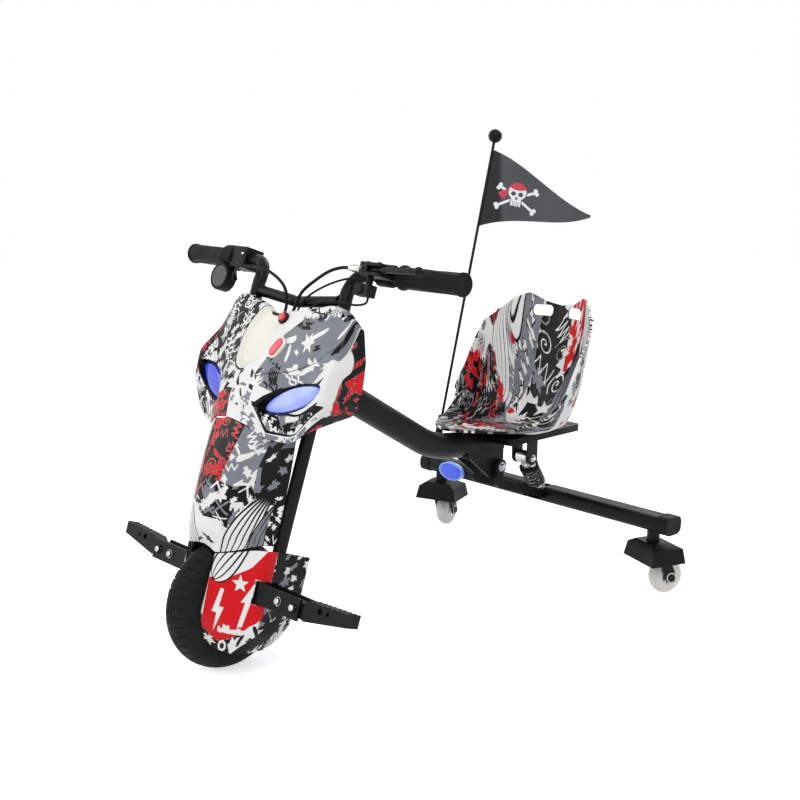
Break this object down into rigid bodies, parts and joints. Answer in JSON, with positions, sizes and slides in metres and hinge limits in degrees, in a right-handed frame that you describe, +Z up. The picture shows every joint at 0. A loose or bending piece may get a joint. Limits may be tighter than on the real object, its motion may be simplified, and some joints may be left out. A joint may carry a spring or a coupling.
{
  "type": "tricycle drifter scooter",
  "caption": "Electric drift tricycle with a driven front wheel on a raked fork, printed body shells, bucket seat, sprung rear beam on swivel casters and a flag",
  "frame": {"origin": "on the floor, under the centre of the overall box", "axes": "+X the rider's left, +Y to the rear, +Z up; the rider looks along -Y"},
  "size_m": [0.6148, 0.9222, 0.7854],
  "materials": {
    "frame_paint": "satin black powder coat",
    "bare_steel": "zinc-plated steel",
    "pole_black": "black rod",
    "cast_alloy": "cast, satin",
    "spring_black": "black coil",
    "printed_shell": "printed black, white, grey and red, glossy",
    "tyre": "road tread",
    "black_rubber": "matt",
    "black_plastic": "fine grain",
    "lens_blue": "translucent blue, lit",
    "button_red": "red",
    "caster_milk": "milky white polyurethane",
    "flag_cloth": "black polyester with a white printed figure"
  },
  "bodies": {
    "frame": {"head_tube": "frame_paint", "lower_bearing": "bare_steel", "upper_bearing": "bare_steel", "main_tube": "frame_paint", "seat_plate": "frame_paint", "pivot_bracket": "frame_paint", "pivot_bolt": "bare_steel", "shock_top_bolt": "bare_steel", "seat_shell": "printed_shell", "flag_bracket": "frame_paint", "flag_pole": "pole_black", "flag_cloth": "flag_cloth"},
    "steering": {"lower_crown": "frame_paint", "upper_yoke": "frame_paint", "steering_stem": "bare_steel", "fork_left": "frame_paint", "fork_right": "frame_paint", "front_axle": "bare_steel", "handlebar_left": "frame_paint", "handlebar_right": "frame_paint", "cross_bar": "frame_paint", "left_grip": "black_rubber", "brake_perch": "black_plastic", "cable_adjuster": "cast_alloy", "switch_box": "black_plastic", "throttle_housing": "black_plastic", "front_cowl": "printed_shell", "column_cover": "printed_shell", "skirt_left": "printed_shell", "skirt_right": "printed_shell", "lamp_lens_left": "lens_blue", "lamp_lens_right": "lens_blue", "battery_pack": "black_plastic", "controller": "cast_alloy", "brake_cable": "black_rubber", "brake_switch_wire": "black_rubber", "throttle_cable": "black_rubber", "switch_wire": "black_rubber"},
    "front_wheel": {"front_tyre": "tyre", "hub_motor": "cast_alloy"},
    "throttle": {"throttle_sleeve": "black_rubber"},
    "brake": {"brake_lever": "black_plastic"},
    "horn": {"horn_button": "button_red"},
    "power": {"power_button": "button_red"},
    "mode": {"mode_button": "button_red"},
    "peg_left": {"foot_peg_left": "black_plastic"},
    "peg_right": {"foot_peg_right": "black_plastic"},
    "rear_swing": {"rear_beam": "frame_paint", "end_cap_left": "black_rubber", "end_cap_right": "black_rubber", "rear_lamp": "lens_blue"},
    "shock_upper": {"shock_body": "cast_alloy", "shock_spring": "spring_black"},
    "shock_lower": {"shock_rod": "bare_steel"},
    "caster_left": {"caster_fork_left": "frame_paint", "caster_hood_left": "black_rubber"},
    "caster_right": {"caster_fork_right": "frame_paint", "caster_hood_right": "black_rubber"},
    "caster_wheel_left": {"caster_wheel_left": "caster_milk"},
    "caster_wheel_right": {"caster_wheel_right": "caster_milk"}
  },
  "joints": [
    {"name": "steer", "type": "hinge", "parent": "frame", "child": "steering", "pos_m": [0, -0.35316, 0.09694], "axis": [0, 0.3223, 0.9466], "range_deg": [-35, 35]},
    {"name": "front_wheel_spin", "type": "hinge", "parent": "steering", "child": "front_wheel", "pos_m": [0, -0.36413, 0.09698], "axis": [1, 0, 0], "continuous": true},
    {"name": "throttle_twist", "type": "hinge", "parent": "steering", "child": "throttle", "pos_m": [-0.27, -0.19437, 0.57581], "axis": [-1, 0, 0], "range_deg": [0, 65], "stiffness_Nm_per_rad": 0.15, "springref_deg": -11.46},
    {"name": "brake_pull", "type": "hinge", "parent": "steering", "child": "brake", "pos_m": [0.172, -0.22276, 0.58548], "axis": [0, 0.3223, 0.9466], "range_deg": [0, 13], "stiffness_Nm_per_rad": 1.2, "springref_deg": -8.59},
    {"name": "horn_press", "type": "slide", "parent": "steering", "child": "horn", "axis": [0, 0.9466, -0.3223], "range_m": [0, 0.0025], "stiffness_N_per_m": 300, "springref_m": -0.001},
    {"name": "power_press", "type": "slide", "parent": "steering", "child": "power", "axis": [0, 0.859, -0.512], "range_m": [0, 0.0025], "stiffness_N_per_m": 400, "springref_m": -0.001},
    {"name": "mode_press", "type": "slide", "parent": "steering", "child": "mode", "axis": [0, 0.8211, -0.5707], "range_m": [0, 0.0025], "stiffness_N_per_m": 400, "springref_m": -0.001},
    {"name": "peg_fold_left", "type": "hinge", "parent": "steering", "child": "peg_left", "pos_m": [0.166, -0.35767, 0.13334], "axis": [0, -0.9466, 0.3223], "range_deg": [0, 80]},
    {"name": "peg_fold_right", "type": "hinge", "parent": "steering", "child": "peg_right", "pos_m": [-0.166, -0.35767, 0.13334], "axis": [0, 0.9466, -0.3223], "range_deg": [0, 80]},
    {"name": "rear_swing", "type": "hinge", "parent": "frame", "child": "rear_swing", "pos_m": [0, 0.20184, 0.20694], "axis": [1, 0, 0], "range_deg": [0, 5], "stiffness_Nm_per_rad": 420, "springref_deg": -5.16},
    {"name": "shock_lean", "type": "hinge", "parent": "frame", "child": "shock_upper", "pos_m": [0, 0.29834, 0.20294], "axis": [1, 0, 0], "range_deg": [0, 9.53]},
    {"name": "shock_travel", "type": "slide", "parent": "shock_upper", "child": "shock_lower", "axis": [0, -0.5425, 0.84], "range_m": [0, 0.0073], "deforming": ["shock_spring"]},
    {"name": "caster_swivel_left", "type": "hinge", "parent": "rear_swing", "child": "caster_left", "pos_m": [0.254, 0.34384, 0.09994], "axis": [0, 0, 1], "continuous": true},
    {"name": "caster_swivel_right", "type": "hinge", "parent": "rear_swing", "child": "caster_right", "pos_m": [-0.254, 0.34384, 0.09994], "axis": [0, 0, 1], "continuous": true},
    {"name": "caster_spin_left", "type": "hinge", "parent": "caster_left", "child": "caster_wheel_left", "pos_m": [0.26358, 0.37015, 0.03044], "axis": [0.9397, -0.342, 0], "continuous": true},
    {"name": "caster_spin_right", "type": "hinge", "parent": "caster_right", "child": "caster_wheel_right", "pos_m": [-0.26358, 0.37015, 0.03044], "axis": [0.9397, 0.342, 0], "continuous": true}
  ],
  "couplings": [
    {"joint": "shock_lean", "follows": "rear_swing", "ratio": 1.7464},
    {"joint": "shock_travel", "follows": "rear_swing", "m_per_rad": 0.074439}
  ]
}
